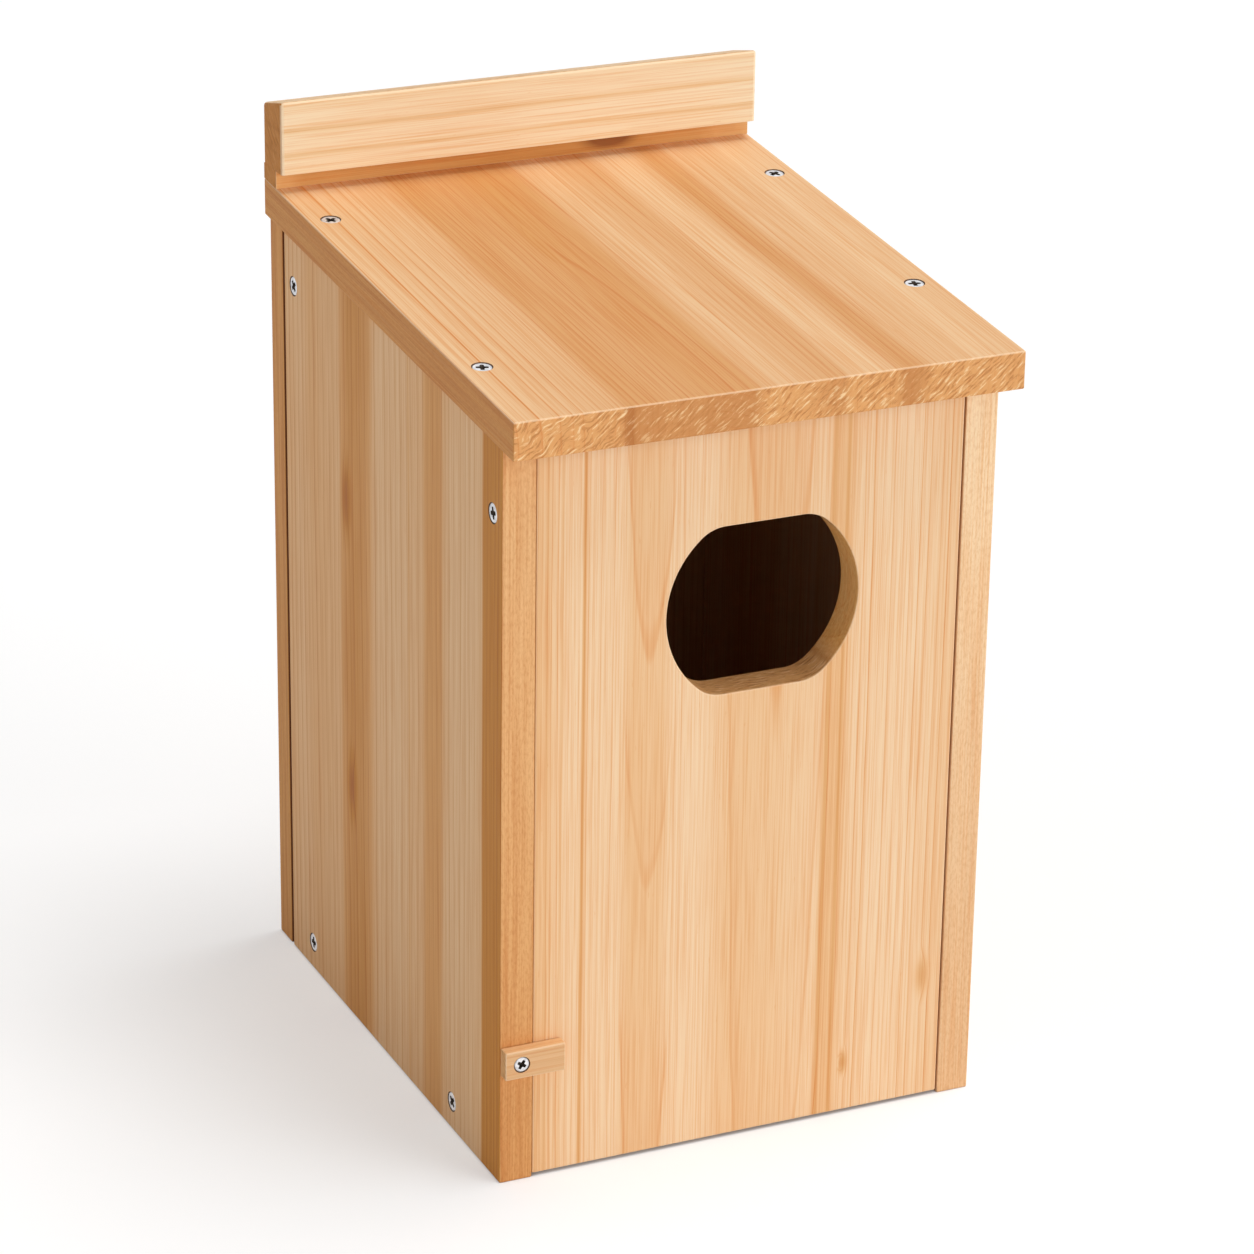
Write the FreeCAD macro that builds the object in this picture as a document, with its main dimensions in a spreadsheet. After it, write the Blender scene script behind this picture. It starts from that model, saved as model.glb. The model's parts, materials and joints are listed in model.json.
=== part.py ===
import FreeCAD
import Part
import Sketcher
import math
import os

# Duck nest box with a clean-out door in front, a sloping roof and a rail above its rear edge.
# Frame: X to the right, the entrance faces -Y, Z up; origin on the ground under the middle of the whole.

doc = FreeCAD.newDocument("duck_house")
sheet = doc.addObject("Spreadsheet::Sheet", "sizes")

# Driving dimensions in millimetres, angles in degrees.
SIZES = {
    # Box and boards.
    "box_width": 270,
    "box_depth": 318,
    "board": 18,
    "front_height": 402,
    # Roof, its rear rail and the strip that lifts the rail.
    "roof_slope": 4,
    "roof_thick": 20,
    "roof_side_over": 3,
    "roof_front_over": 19,
    "riser_depth": 18,
    "riser_height": 10,
    "rail_depth": 27,
    "rail_height": 40,
    "rail_top_fall": 7,
    # Floor and the cleat under the roof's rear edge.
    "floor_rise": 6.5,
    "floor_door_gap": 1,
    "drain_dia": 9,
    "drain_side_inset": 45,
    "drain_end_inset": 57,
    "cleat_depth": 34,
    "cleat_drop": 29,
    # Front panel, which is the clean-out door, and its entrance.
    "door_thick": 20,
    "door_side_gap": 1,
    "door_foot_gap": 2,
    "door_head_gap": 3,
    "pivot_drop": 39,
    "pivot_setback": 12,
    "entry_width": 106,
    "entry_height": 90,
    "entry_corner": 20,
    "entry_drop": 104.5,
    "entry_offset": 6.5,
    "kerf_pitch": 24,
    "kerf_width": 4,
    "kerf_depth": 3,
    "kerf_length": 130,
    # Turn button that holds the door shut.
    "button_length": 33,
    "button_height": 15.5,
    "button_thick": 7,
    "button_tail": 9,
    "button_rise": 70,
    "button_gap": 0.4,
    # Countersunk wood screws and their places.
    "screw_head": 10,
    "screw_shank": 4,
    "screw_length": 45,
    "pivot_shank": 5,
    "rail_screw_length": 60,
    "rail_screw_spread": 95,
    "latch_head": 8,
    "latch_shank": 3.5,
    "latch_length": 36,
    "tip_length": 7,
    "tip_flat": 1,
    "recess_span": 5.4,
    "latch_recess_span": 4.4,
    "recess_width": 1.2,
    "recess_depth": 1.6,
    "running_play": 0.05,
    "head_play": 0.3,
    "floor_screw_front": 64,
    "floor_screw_rear": 52,
    "cleat_screw_rear": 34,
    "back_screw_spread": 62,
    "back_screw_foot": 60,
    "back_screw_head": 60,
    "roof_screw_left_front": 47,
    "roof_screw_left_rear": 67,
    "roof_screw_right_front": 77,
    "roof_screw_right_rear": 77,
}
for row, (alias, value) in enumerate(SIZES.items(), start=1):
    sheet.set(f"A{row}", alias.replace("_", " "))
    sheet.set(f"B{row}", str(value))
    sheet.setAlias(f"B{row}", alias)
doc.recompute()

# Places that several pieces share, as formulas of the sheet's cells.
# FRONT and REAR are the box's own faces, set so that the roof's front edge and the rear face lie as far
# from the origin as each other.
FRONT = "((sizes.roof_front_over + sizes.roof_thick * sin(sizes.roof_slope) - sizes.box_depth) / 2)"
REAR = f"({FRONT} + sizes.box_depth)"
BACK_FACE = f"({REAR} - sizes.board)"
LEFT = "(-sizes.box_width / 2)"
INNER_HALF = "(sizes.box_width / 2 - sizes.board)"
SIDE_MIDDLE = "(sizes.box_width / 2 - sizes.board / 2)"
FLOOR_MIDDLE = "(sizes.floor_rise + sizes.board / 2)"
ROOF_HALF = "(sizes.box_width / 2 + sizes.roof_side_over)"
DOOR_HALF = f"({INNER_HALF} - sizes.door_side_gap)"
DOOR_REAR = f"({FRONT} + sizes.door_thick)"
PIVOT_Y = f"({FRONT} + sizes.pivot_setback)"
PIVOT_Z = "(sizes.front_height - sizes.pivot_drop)"
ENTRY_Z = "(sizes.front_height - sizes.entry_drop)"


def roof_underside(depth_place):
    return f"(sizes.front_height + ({depth_place} - {FRONT}) * tan(sizes.roof_slope))"


def roof_top(depth_place):
    return f"({roof_underside(depth_place)} + sizes.roof_thick / cos(sizes.roof_slope))"


RISER_FRONT = f"({REAR} - sizes.riser_depth)"
RAIL_FOOT = f"({roof_top(RISER_FRONT)} + sizes.riser_height)"
CLEAT_MIDDLE = f"({roof_underside(BACK_FACE)} - sizes.cleat_drop)"

X_AXIS = FreeCAD.Vector(1, 0, 0)
Y_AXIS = FreeCAD.Vector(0, 1, 0)


def bind(obj, **formulas):
    for prop, formula in formulas.items():
        obj.setExpression(prop, formula)
    return obj


def place(obj, x="0", y="0", z="0"):
    for axis, formula in (("x", x), ("y", y), ("z", z)):
        obj.setExpression(f"Placement.Base.{axis}", formula)
    return obj


def turn(obj, axis, angle):
    obj.Placement = FreeCAD.Placement(FreeCAD.Vector(), FreeCAD.Rotation(axis, angle))
    return obj


def block(name, x, y, z, length, width, height):
    obj = doc.addObject("Part::Box", name)
    return place(bind(obj, Length=length, Width=width, Height=height), x, y, z)


def rod(name, radius, height, z="0"):
    obj = doc.addObject("Part::Cylinder", name)
    return place(bind(obj, Radius=radius, Height=height), z=z)


def taper(name, low_radius, high_radius, height, z="0"):
    obj = doc.addObject("Part::Cone", name)
    return place(bind(obj, Radius1=low_radius, Radius2=high_radius, Height=height), z=z)


def sloped_board(name, half_from, half_to, front, rear, foot_front, foot_rear, head_front, head_rear):
    # A board between two X planes and two Y planes whose foot and head may slope along Y.
    obj = doc.addObject("Part::Wedge", name)
    return bind(
        obj,
        Xmin=half_from, X2min=half_from, Xmax=half_to, X2max=half_to,
        Ymin=front, Ymax=rear,
        Zmin=foot_front, Z2min=foot_rear, Zmax=head_front, Z2max=head_rear,
    )


def group(name, members):
    obj = doc.addObject("Part::Compound", name)
    obj.Links = members
    return obj


def fuse(name, members):
    obj = doc.addObject("Part::MultiFuse", name)
    obj.Shapes = members
    return obj


def cut(name, base, tools):
    obj = doc.addObject("Part::Cut", name)
    obj.Base = base
    obj.Tool = group(f"{name}_cutters", tools)
    return obj


class ScrewKind:
    # A countersunk screw drawn with the middle of its head at the origin and its point along -Z.
    def __init__(self, name, head, shank, length, recess_span):
        cone = f"(({head} - {shank}) / 2)"
        body = fuse(f"{name}_body", [
            taper(f"{name}_head", f"{shank} / 2", f"{head} / 2", cone, z=f"-{cone}"),
            rod(f"{name}_shank", f"{shank} / 2", f"{length} - sizes.tip_length - {cone}",
                z=f"-({length} - sizes.tip_length)"),
            taper(f"{name}_tip", "sizes.tip_flat / 2", f"{shank} / 2", "sizes.tip_length", z=f"-{length}"),
        ])
        slots = []
        for arm, (long_x, long_y) in {
            "across": (recess_span, "sizes.recess_width"),
            "along": ("sizes.recess_width", recess_span),
        }.items():
            slots.append(block(f"{name}_slot_{arm}", f"-{long_x} / 2", f"-{long_y} / 2",
                               "-sizes.recess_depth", long_x, long_y, "sizes.recess_depth * 2"))
        self.bore = body
        self.screw = cut(f"{name}_master", body, [fuse(f"{name}_recess", slots)])


wood_screw = ScrewKind("wood_screw", "sizes.screw_head", "sizes.screw_shank", "sizes.screw_length",
                       "sizes.recess_span")
pivot_screw = ScrewKind("pivot_screw", "sizes.screw_head", "sizes.pivot_shank", "sizes.screw_length",
                        "sizes.recess_span")
rail_screw = ScrewKind("rail_screw", "sizes.screw_head", "sizes.screw_shank", "sizes.rail_screw_length",
                       "sizes.recess_span")
latch_screw = ScrewKind("latch_screw_kind", "sizes.latch_head", "sizes.latch_shank", "sizes.latch_length",
                        "sizes.latch_recess_span")


def clearance_bore(name, head, shank, length):
    # Room around a screw that turns in the wood, or around which the wood turns.
    cone = f"(({head} - {shank}) / 2)"
    return fuse(name, [
        taper(f"{name}_head", f"{shank} / 2 + sizes.running_play", f"{head} / 2 + sizes.head_play",
              cone, z=f"-{cone}"),
        rod(f"{name}_shank", f"{shank} / 2 + sizes.running_play", f"{length}", z=f"-({length})"),
    ])


pivot_room = clearance_bore("pivot_room", "sizes.screw_head", "sizes.pivot_shank",
                            "(sizes.board + sizes.door_side_gap)")
latch_room = clearance_bore("latch_room", "sizes.latch_head", "sizes.latch_shank",
                            "(sizes.button_thick + sizes.button_gap)")


def set_in(name, shape, axis, angle, x, y, z, angle_formula=None):
    obj = turn(group(name, [shape]), axis, angle)
    if angle_formula:
        obj.setExpression("Placement.Rotation.Angle", angle_formula)
    return place(obj, x, y, z)


def drive(name, kind, axis, angle, x, y, z, angle_formula=None):
    # One screw in its place and the bore that it fills in the wood.
    screw = set_in(name, kind.screw, axis, angle, x, y, z, angle_formula)
    bore = set_in(f"{name}_bore", kind.bore, axis, angle, x, y, z, angle_formula)
    return screw, bore


def screws_of(driven):
    return [screw for screw, bore in driven]


def bores_of(driven):
    return [bore for screw, bore in driven]


# Screws through the sides, the back and the roof, by side of the box.
SIDES = {"left": -1, "right": 1}
BACK_SCREW_HEIGHTS = {
    "low": "sizes.back_screw_foot",
    "middle": "(sizes.back_screw_foot + sizes.front_height - sizes.back_screw_head) / 2",
    "high": "(sizes.front_height - sizes.back_screw_head)",
}
floor_set = {}
cleat_set = {}
back_set = {}
roof_set = {}
pivot_set = {}
pivot_rooms = {}
for side, sign in SIDES.items():
    outer = f"({sign} * sizes.box_width / 2)"
    middle = f"({sign} * {SIDE_MIDDLE})"
    floor_set[side] = [
        drive(f"floor_screw_{side}_front", wood_screw, Y_AXIS, sign * 90,
              outer, f"({FRONT} + sizes.floor_screw_front)", FLOOR_MIDDLE),
        drive(f"floor_screw_{side}_rear", wood_screw, Y_AXIS, sign * 90,
              outer, f"({REAR} - sizes.floor_screw_rear)", FLOOR_MIDDLE),
    ]
    cleat_set[side] = [
        drive(f"cleat_screw_{side}_one", wood_screw, Y_AXIS, sign * 90,
              outer, f"({REAR} - sizes.cleat_screw_rear)", CLEAT_MIDDLE),
    ]
    back_set[side] = [
        drive(f"back_screw_{side}_{step}", wood_screw, X_AXIS, -90, middle, REAR, height)
        for step, height in BACK_SCREW_HEIGHTS.items()
    ]
    roof_places = {
        "front": f"({FRONT} + sizes.roof_screw_{side}_front)",
        "rear": f"({REAR} - sizes.roof_screw_{side}_rear)",
    }
    roof_set[side] = [
        drive(f"roof_screw_{side}_{step}", wood_screw, X_AXIS, SIZES["roof_slope"],
              middle, depth_place, roof_top(depth_place), "sizes.roof_slope")
        for step, depth_place in roof_places.items()
    ]
    pivot_set[side] = [
        drive(f"pivot_{side}", pivot_screw, Y_AXIS, sign * 90, outer, PIVOT_Y, PIVOT_Z),
    ]
    pivot_rooms[side] = set_in(f"pivot_room_{side}", pivot_room, Y_AXIS, sign * 90, outer, PIVOT_Y, PIVOT_Z)

back_floor_set = [
    drive(f"back_floor_screw_{side}", wood_screw, X_AXIS, -90,
          f"({sign} * sizes.back_screw_spread)", REAR, FLOOR_MIDDLE)
    for side, sign in SIDES.items()
]
back_cleat_set = [
    drive(f"back_cleat_screw_{side}", wood_screw, X_AXIS, -90,
          f"({sign} * sizes.back_screw_spread)", REAR, CLEAT_MIDDLE)
    for side, sign in SIDES.items()
]
RISER_MIDDLE = f"({REAR} - sizes.riser_depth / 2)"
rail_set = [
    drive(f"rail_screw_{step}", rail_screw, X_AXIS, 180 + SIZES["roof_slope"],
          f"({sign} * sizes.rail_screw_spread)", RISER_MIDDLE, roof_underside(RISER_MIDDLE),
          "180 + sizes.roof_slope")
    for step, sign in (("left", -1), ("middle", 0), ("right", 1))
]
BUTTON_X = f"(-{SIDE_MIDDLE})"
BUTTON_FACE = f"({FRONT} - sizes.button_gap - sizes.button_thick)"
latch_set = [
    drive("latch_one", latch_screw, X_AXIS, 90, BUTTON_X, BUTTON_FACE, "sizes.button_rise"),
]
latch_room_placed = set_in("latch_room_placed", latch_room, X_AXIS, 90, BUTTON_X, BUTTON_FACE,
                           "sizes.button_rise")

nodes = {}

# Side panels: full-depth boards up to the back panel, heads cut to the roof's slope.
for side, sign in SIDES.items():
    low_x = LEFT if sign < 0 else INNER_HALF
    high_x = f"(-{INNER_HALF})" if sign < 0 else "(sizes.box_width / 2)"
    blank = sloped_board(f"{side}_side_blank", low_x, high_x, FRONT, BACK_FACE, "0", "0",
                         "sizes.front_height", roof_underside(BACK_FACE))
    bores = bores_of(floor_set[side] + cleat_set[side] + back_set[side] + roof_set[side])
    bores.append(pivot_rooms[side])
    if side == "left":
        bores += bores_of(latch_set)
    nodes[f"{side}_side_panel"] = cut(f"{side}_side_panel", blank, bores)

# Back panel: as wide as the box, behind the sides, under the roof.
back_blank = sloped_board("back_blank", LEFT, "(sizes.box_width / 2)", BACK_FACE, REAR, "0", "0",
                          roof_underside(BACK_FACE), roof_underside(REAR))
nodes["back_panel"] = cut(
    "back_panel", back_blank,
    bores_of(back_set["left"] + back_set["right"] + back_floor_set + back_cleat_set))

# Floor between the sides, behind the door, with four drain holes.
FLOOR_FRONT = f"({DOOR_REAR} + sizes.floor_door_gap)"
floor_blank = block("floor_blank", f"-{INNER_HALF}", FLOOR_FRONT, "sizes.floor_rise",
                    f"2 * {INNER_HALF}", f"{BACK_FACE} - {FLOOR_FRONT}", "sizes.board")
drain_places = {
    "front": f"{FLOOR_FRONT} + sizes.drain_end_inset",
    "rear": f"{BACK_FACE} - sizes.drain_end_inset",
}
drains = []
for side, sign in SIDES.items():
    for step, depth_place in drain_places.items():
        drain = rod(f"drain_{side}_{step}", "sizes.drain_dia / 2", "sizes.board * 2")
        drains.append(place(drain, f"{sign} * ({INNER_HALF} - sizes.drain_side_inset)", depth_place,
                            "sizes.floor_rise - sizes.board / 2"))
nodes["floor_panel"] = cut("floor_panel", floor_blank,
                           drains + bores_of(floor_set["left"] + floor_set["right"] + back_floor_set))

# Cleat between the sides against the back panel, under the roof's rear edge.
cleat_blank = block("cleat_blank", f"-{INNER_HALF}", f"{BACK_FACE} - sizes.cleat_depth",
                    f"{CLEAT_MIDDLE} - sizes.board / 2",
                    f"2 * {INNER_HALF}", "sizes.cleat_depth", "sizes.board")
nodes["rear_top_cleat"] = cut("rear_top_cleat", cleat_blank,
                              bores_of(cleat_set["left"] + cleat_set["right"] + back_cleat_set))

# Roof: one sloping board, square at the front end and cut plumb flush with the back panel.
roof_blank = turn(doc.addObject("Part::Box", "roof_blank"), X_AXIS, SIZES["roof_slope"])
bind(roof_blank, Length=f"2 * {ROOF_HALF}", Height="sizes.roof_thick",
     Width="(sizes.box_depth + sizes.roof_front_over) / cos(sizes.roof_slope) + 2 * sizes.roof_thick")
roof_blank.setExpression("Placement.Rotation.Angle", "sizes.roof_slope")
ROOF_FRONT = f"({FRONT} - sizes.roof_front_over)"
place(roof_blank, f"-{ROOF_HALF}", ROOF_FRONT, roof_underside(ROOF_FRONT))
roof_end = block("roof_end", f"-{ROOF_HALF} * 1.1", REAR, "sizes.front_height",
                 f"{ROOF_HALF} * 2.2", "sizes.roof_thick * 4", "sizes.front_height")
nodes["roof_panel"] = cut("roof_panel", roof_blank,
                          [roof_end] + bores_of(roof_set["left"] + roof_set["right"] + rail_set))

# Riser strip on the roof's rear edge, foot cut to the slope, and the rail that overhangs it, its top
# falling to the rear.
riser_blank = sloped_board("riser_blank", f"-{ROOF_HALF}", ROOF_HALF, RISER_FRONT, REAR,
                           roof_top(RISER_FRONT), roof_top(REAR), RAIL_FOOT, RAIL_FOOT)
nodes["rail_riser"] = cut("rail_riser", riser_blank, bores_of(rail_set))
RAIL_HEAD = f"({RAIL_FOOT} + sizes.rail_height)"
rail_blank = sloped_board("rail_blank", f"-{ROOF_HALF}", ROOF_HALF, f"({REAR} - sizes.rail_depth)", REAR,
                          RAIL_FOOT, RAIL_FOOT, RAIL_HEAD, f"{RAIL_HEAD} - sizes.rail_top_fall")
nodes["mounting_rail"] = cut("mounting_rail", rail_blank, bores_of(rail_set))


# Entrance: a round hole with a flat head and sill and blended corners.
def entrance_cutter():
    body = doc.addObject("PartDesign::Body", "entrance_cutter")
    sketch = body.newObject("Sketcher::SketchObject", "entrance_outline")
    plane = next(f for f in body.Origin.OriginFeatures if f.Role == "XZ_Plane")
    sketch.AttachmentSupport = (plane, "")
    sketch.MapMode = "FlatFace"
    radius = SIZES["entry_width"] / 2
    half = SIZES["entry_height"] / 2
    corner = SIZES["entry_corner"]
    middle = FreeCAD.Vector(SIZES["entry_offset"], SIZES["front_height"] - SIZES["entry_drop"], 0)
    corner_x = math.sqrt((radius - corner) ** 2 - (half - corner) ** 2)
    lean = math.atan2(half - corner, corner_x)
    up = FreeCAD.Vector(0, 0, 1)

    def arc(offset_x, offset_z, size, start, end):
        centre = middle + FreeCAD.Vector(offset_x, offset_z, 0)
        return Part.ArcOfCircle(Part.Circle(centre, up, size), start, end)

    def line(start, end):
        return Part.LineSegment(middle + FreeCAD.Vector(*start, 0), middle + FreeCAD.Vector(*end, 0))

    quarter = math.pi / 2
    outline = [
        arc(0, 0, radius, -lean, lean),
        arc(corner_x, half - corner, corner, lean, quarter),
        line((corner_x, half), (-corner_x, half)),
        arc(-corner_x, half - corner, corner, quarter, math.pi - lean),
        arc(0, 0, radius, math.pi - lean, math.pi + lean),
        arc(-corner_x, corner - half, corner, math.pi + lean, 3 * quarter),
        line((-corner_x, -half), (corner_x, -half)),
        arc(corner_x, corner - half, corner, 3 * quarter, 4 * quarter - lean),
    ]
    for curve in outline:
        sketch.addGeometry(curve, False)
    count = len(outline)
    for index in range(count):
        sketch.addConstraint(Sketcher.Constraint("Tangent", index, 2, (index + 1) % count, 1))
    for flat in (2, 6):
        sketch.addConstraint(Sketcher.Constraint("Horizontal", flat))
    sketch.addConstraint(Sketcher.Constraint("Coincident", 0, 3, 4, 3))
    sketch.addConstraint(Sketcher.Constraint("Equal", 0, 4))
    for small in (3, 5, 7):
        sketch.addConstraint(Sketcher.Constraint("Equal", 1, small))
    driven = (
        ("entry_x", Sketcher.Constraint("DistanceX", -1, 1, 0, 3, middle.x), "sizes.entry_offset"),
        ("entry_z", Sketcher.Constraint("DistanceY", -1, 1, 0, 3, middle.y), ENTRY_Z),
        ("round_size", Sketcher.Constraint("Radius", 0, radius), "sizes.entry_width / 2"),
        ("corner_size", Sketcher.Constraint("Radius", 1, corner), "sizes.entry_corner"),
        ("head_half", Sketcher.Constraint("DistanceY", 0, 3, 2, 1, half), "sizes.entry_height / 2"),
        ("sill_half", Sketcher.Constraint("DistanceY", 6, 1, 0, 3, half), "sizes.entry_height / 2"),
    )
    for name, constraint, formula in driven:
        index = sketch.addConstraint(constraint)
        sketch.renameConstraint(index, name)
        sketch.setExpression(f"Constraints.{name}", formula)
    doc.recompute()
    pad = body.newObject("PartDesign::Pad", "entrance_depth")
    pad.Profile = sketch
    pad.setExpression("Length", "sizes.door_thick * 2")
    body.Tip = pad
    return place(body, y=f"{DOOR_REAR} + sizes.door_thick / 2")


# Front panel: the clean-out door, between the sides, with climbing kerfs below the entrance inside.
door_blank = block("door_blank", f"-{DOOR_HALF}", FRONT, "sizes.door_foot_gap", f"2 * {DOOR_HALF}",
                   "sizes.door_thick", "sizes.front_height - sizes.door_head_gap - sizes.door_foot_gap")
KERF_COUNT = 7
kerfs = [
    block(f"kerf_{step}", "sizes.entry_offset - sizes.kerf_length / 2", f"{DOOR_REAR} - sizes.kerf_depth",
          f"{ENTRY_Z} - sizes.entry_height / 2 - {step + 1} * sizes.kerf_pitch",
          "sizes.kerf_length", "sizes.kerf_depth * 2", "sizes.kerf_width")
    for step in range(KERF_COUNT)
]
nodes["front_panel"] = cut("front_panel", door_blank,
                           [entrance_cutter()] + kerfs + bores_of(pivot_set["left"] + pivot_set["right"]))

# Turn button on the left panel's front edge, across the joint to the door.
button_blank = block("button_blank", f"{BUTTON_X} - sizes.button_tail", BUTTON_FACE,
                     "sizes.button_rise - sizes.button_height / 2",
                     "sizes.button_length", "sizes.button_thick", "sizes.button_height")
nodes["turn_button"] = cut("turn_button", button_blank, [latch_room_placed])

# Fasteners, one node for each set of like screws.
nodes["latch_screw"] = group("latch_screw", screws_of(latch_set))
nodes["rail_screws"] = group("rail_screws", screws_of(rail_set))
nodes["back_floor_screws"] = group("back_floor_screws", screws_of(back_floor_set))
nodes["back_cleat_screws"] = group("back_cleat_screws", screws_of(back_cleat_set))
for side in SIDES:
    nodes[f"pivot_screw_{side}"] = group(f"pivot_screw_{side}", screws_of(pivot_set[side]))
    nodes[f"roof_screws_{side}"] = group(f"roof_screws_{side}", screws_of(roof_set[side]))
    nodes[f"floor_screws_{side}"] = group(f"floor_screws_{side}", screws_of(floor_set[side]))
    nodes[f"cleat_screw_{side}"] = group(f"cleat_screw_{side}", screws_of(cleat_set[side]))
    nodes[f"back_screws_{side}"] = group(f"back_screws_{side}", screws_of(back_set[side]))

doc.recompute()

for name, obj in nodes.items():
    obj.Label = name
failed = [obj.Name for obj in doc.Objects if "Invalid" in obj.State or "Error" in obj.State]
if failed:
    raise RuntimeError(f"failed objects: {failed}")
for name, obj in nodes.items():
    if obj.Shape.isNull() or not obj.Shape.isValid() or not obj.Shape.Solids:
        raise RuntimeError(f"bad shape: {name}")
for name, blank in (("front_panel", door_blank), ("roof_panel", roof_blank), ("floor_panel", floor_blank)):
    if nodes[name].Shape.Volume >= blank.Shape.Volume:
        raise RuntimeError(f"nothing was cut from {name}")

os.makedirs("parts", exist_ok=True)
for name, obj in nodes.items():
    obj.Shape.exportStep(os.path.join("parts", f"{name}.step"))
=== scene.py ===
import json
import math
from types import SimpleNamespace

import bmesh
import bpy
import numpy as np
from mathutils import Matrix, Vector

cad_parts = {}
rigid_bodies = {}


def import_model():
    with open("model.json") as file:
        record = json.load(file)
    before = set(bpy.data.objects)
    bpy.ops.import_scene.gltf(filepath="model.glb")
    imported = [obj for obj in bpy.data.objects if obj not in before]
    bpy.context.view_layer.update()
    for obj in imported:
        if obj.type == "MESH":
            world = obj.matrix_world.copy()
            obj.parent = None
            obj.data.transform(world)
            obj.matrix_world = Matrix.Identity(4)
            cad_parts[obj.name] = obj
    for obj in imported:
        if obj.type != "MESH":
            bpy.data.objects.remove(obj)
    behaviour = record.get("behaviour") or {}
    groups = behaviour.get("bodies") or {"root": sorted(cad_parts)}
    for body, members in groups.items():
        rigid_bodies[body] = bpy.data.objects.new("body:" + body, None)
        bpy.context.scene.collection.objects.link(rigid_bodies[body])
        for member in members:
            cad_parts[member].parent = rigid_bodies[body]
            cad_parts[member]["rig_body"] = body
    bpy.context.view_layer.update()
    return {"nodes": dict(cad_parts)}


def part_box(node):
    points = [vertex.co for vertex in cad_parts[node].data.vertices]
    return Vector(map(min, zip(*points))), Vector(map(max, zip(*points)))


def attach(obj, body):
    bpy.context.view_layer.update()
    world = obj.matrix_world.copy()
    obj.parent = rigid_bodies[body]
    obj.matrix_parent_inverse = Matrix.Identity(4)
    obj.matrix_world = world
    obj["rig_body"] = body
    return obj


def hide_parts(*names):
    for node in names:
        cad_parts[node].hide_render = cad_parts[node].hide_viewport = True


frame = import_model()

MM = 0.001
X = Vector((1, 0, 0))
Y = Vector((0, 1, 0))
Z = Vector((0, 0, 1))

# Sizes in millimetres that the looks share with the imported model.
ROOF_SLOPE = math.radians(4)
ROOF_THICK = 20
RAIL_TOP_FALL = 7
ENTRY_WIDTH = 106
ENTRY_HEIGHT = 90
ENTRY_CORNER = 20
ENTRY_PLACE = (6.5, 297.5)
KERF_COUNT = 7
KERF_PITCH = 24
KERF_WIDTH = 4
KERF_DEPTH = 3
KERF_LENGTH = 130
DRAIN_DIAMETER = 9
DRAIN_SIDE_INSET = 45
DRAIN_END_INSET = 57

# Sizes in millimetres that only the looks have.
# SIDE_SHY is how far a side board stops short of the back board.
BOARD_EASE = 0.7
RAIL_EASE = 1.6
RISER_EASE = 0.3
EASE_STEPS = 2
SHARP_OVER = 0.5
AROUND = 32
DOOR_SNUG = 0.85
SIDE_SHY = {"left_side_panel": 2.6, "right_side_panel": 0.8}
HEAD_GAP = 0.5
BORE_PLAY = 0.05
BORE_TIP_RADIUS = 0.3
BORE_PAST_TIP = 0.2
HEAD_SINK = 0.25
CUT_PAST = 2
BOARD_FACE_FROM = 0.9

ROOF_ALONG = Vector((0, math.cos(ROOF_SLOPE), math.sin(ROOF_SLOPE)))
ROOF_NORMAL = Vector((0, -math.sin(ROOF_SLOPE), math.cos(ROOF_SLOPE)))


# Meshes

def new_object(name, bm):
    bmesh.ops.recalc_face_normals(bm, faces=bm.faces)
    mesh = bpy.data.meshes.new(name)
    bm.to_mesh(mesh)
    bm.free()
    piece = bpy.data.objects.new(name, mesh)
    bpy.context.scene.collection.objects.link(piece)
    return piece


def add_prism(bm, outline, sweep):
    """A closed prism: a flat outline of points in metres and the way that it is swept."""
    near = [bm.verts.new(p) for p in outline]
    far = [bm.verts.new(Vector(p) + sweep) for p in outline]
    bm.faces.new(near[::-1])
    bm.faces.new(far)
    count = len(near)
    for i in range(count):
        j = (i + 1) % count
        bm.faces.new((near[i], near[j], far[j], far[i]))


def add_box(bm, low, high):
    outline = [(low.x, low.y, low.z), (high.x, low.y, low.z),
               (high.x, high.y, low.z), (low.x, high.y, low.z)]
    add_prism(bm, outline, Z * (high.z - low.z))


def ease_edges(bm, width, foot):
    """Rounds the sharp edges a little, as sanding does, apart from those that lie at or under a height."""
    edges = [e for e in bm.edges if e.calc_face_angle() > SHARP_OVER and max(v.co.z for v in e.verts) > foot]
    bmesh.ops.bevel(bm, geom=edges, offset=width * MM, offset_type="OFFSET", segments=EASE_STEPS,
                    profile=0.5, affect="EDGES", clamp_overlap=True)


def add_ring(bm, place, radius, height):
    """A ring of points about +Z, in mm. The radius is a number or a function of the share of a turn."""
    ring = []
    for i in range(AROUND):
        share = i / AROUND
        angle = 2 * math.pi * share
        reach = radius(share) if callable(radius) else radius
        ring.append(bm.verts.new(place @ Vector((reach * math.cos(angle), reach * math.sin(angle), height))))
    return ring


def join_rings(bm, rings):
    for first, second in zip(rings, rings[1:]):
        for i in range(AROUND):
            j = (i + 1) % AROUND
            bm.faces.new((first[i], second[i], second[j], first[j])).smooth = True


def add_lathe(bm, rows, place):
    """A closed turned shape: rows of (radius, height) in millimetres about +Z, from one end to the other."""
    rings = [add_ring(bm, place, radius, height) for radius, height in rows]
    join_rings(bm, rings)
    bm.faces.new(rings[0][::-1])
    bm.faces.new(rings[-1])


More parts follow.
